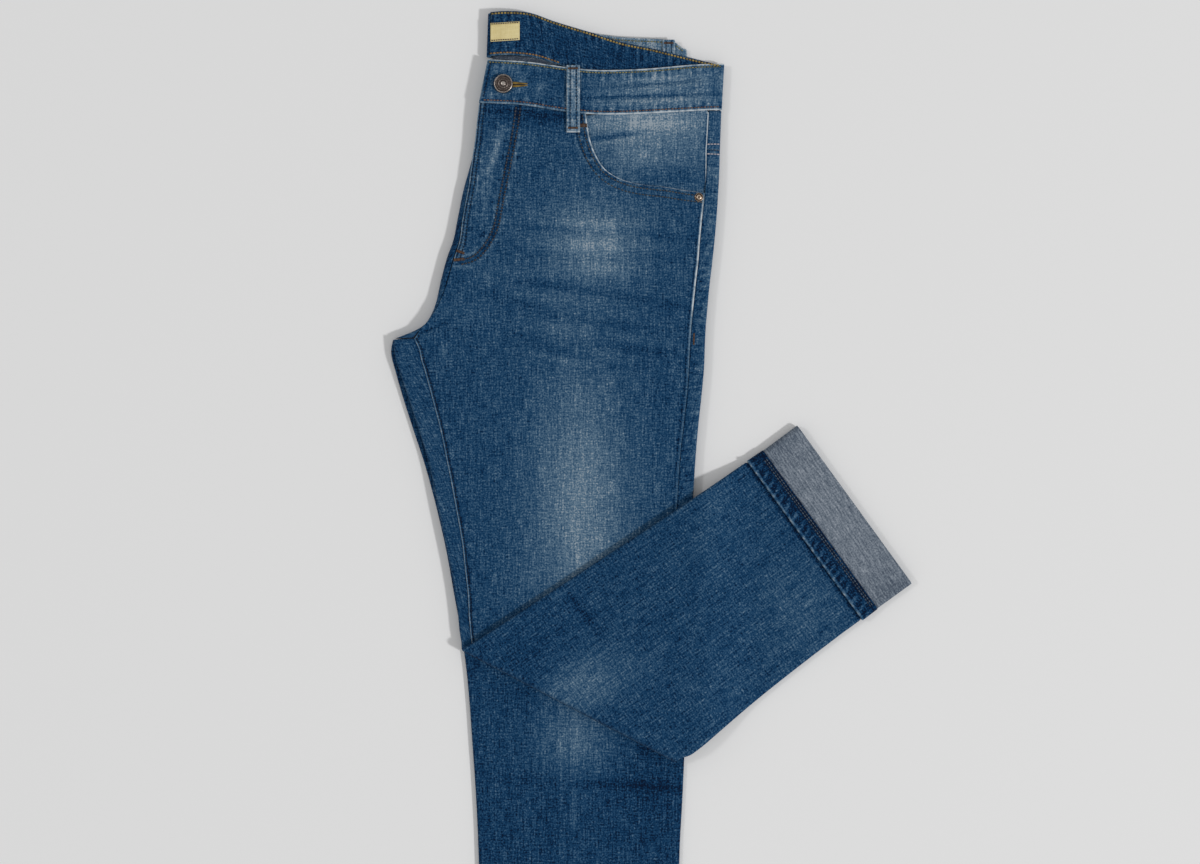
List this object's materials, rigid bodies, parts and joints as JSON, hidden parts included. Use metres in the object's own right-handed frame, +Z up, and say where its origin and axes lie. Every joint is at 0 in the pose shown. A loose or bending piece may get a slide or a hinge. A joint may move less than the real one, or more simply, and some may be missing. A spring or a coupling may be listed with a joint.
{
  "type": "folded jeans",
  "caption": "Five-pocket denim jeans lying flat, folded lengthwise, with one leg folded up across itself at the knee and its hem turned up.",
  "frame": {"origin": "centre of the lying pile's outline, on the floor that it lies on", "axes": "+Z up from the floor, +Y along the straight leg from its hem towards the waist, +X to the right as seen from above, the way the folded leg points"},
  "size_m": [0.4988, 1.0598, 0.0196],
  "materials": {
    "denim": "dark indigo twill denim with slubs, slightly worn",
    "worn_denim": "indigo twill denim, faded on the thigh, with whiskers at the hip",
    "denim_wrong_side": "grey-blue wrong side of the denim, with its weft on top",
    "label_cloth": "bare cream woven tape",
    "aged_brass": "dark antique brass, brushed by wear"
  },
  "bodies": {
    "root": {"right_front": "denim", "right_back": "denim", "right_yoke": "denim", "waistband_right": "denim", "left_back": "denim", "left_yoke": "denim", "left_front": "worn_denim", "left_pocket_facing": "worn_denim", "waistband_left": "denim", "left_cuff": "denim_wrong_side", "left_hem": "denim", "belt_loop_front": "denim", "belt_loop_back": "denim", "label": "label_cloth", "button": "aged_brass", "rivet": "aged_brass"}
  },
  "joints": []
}
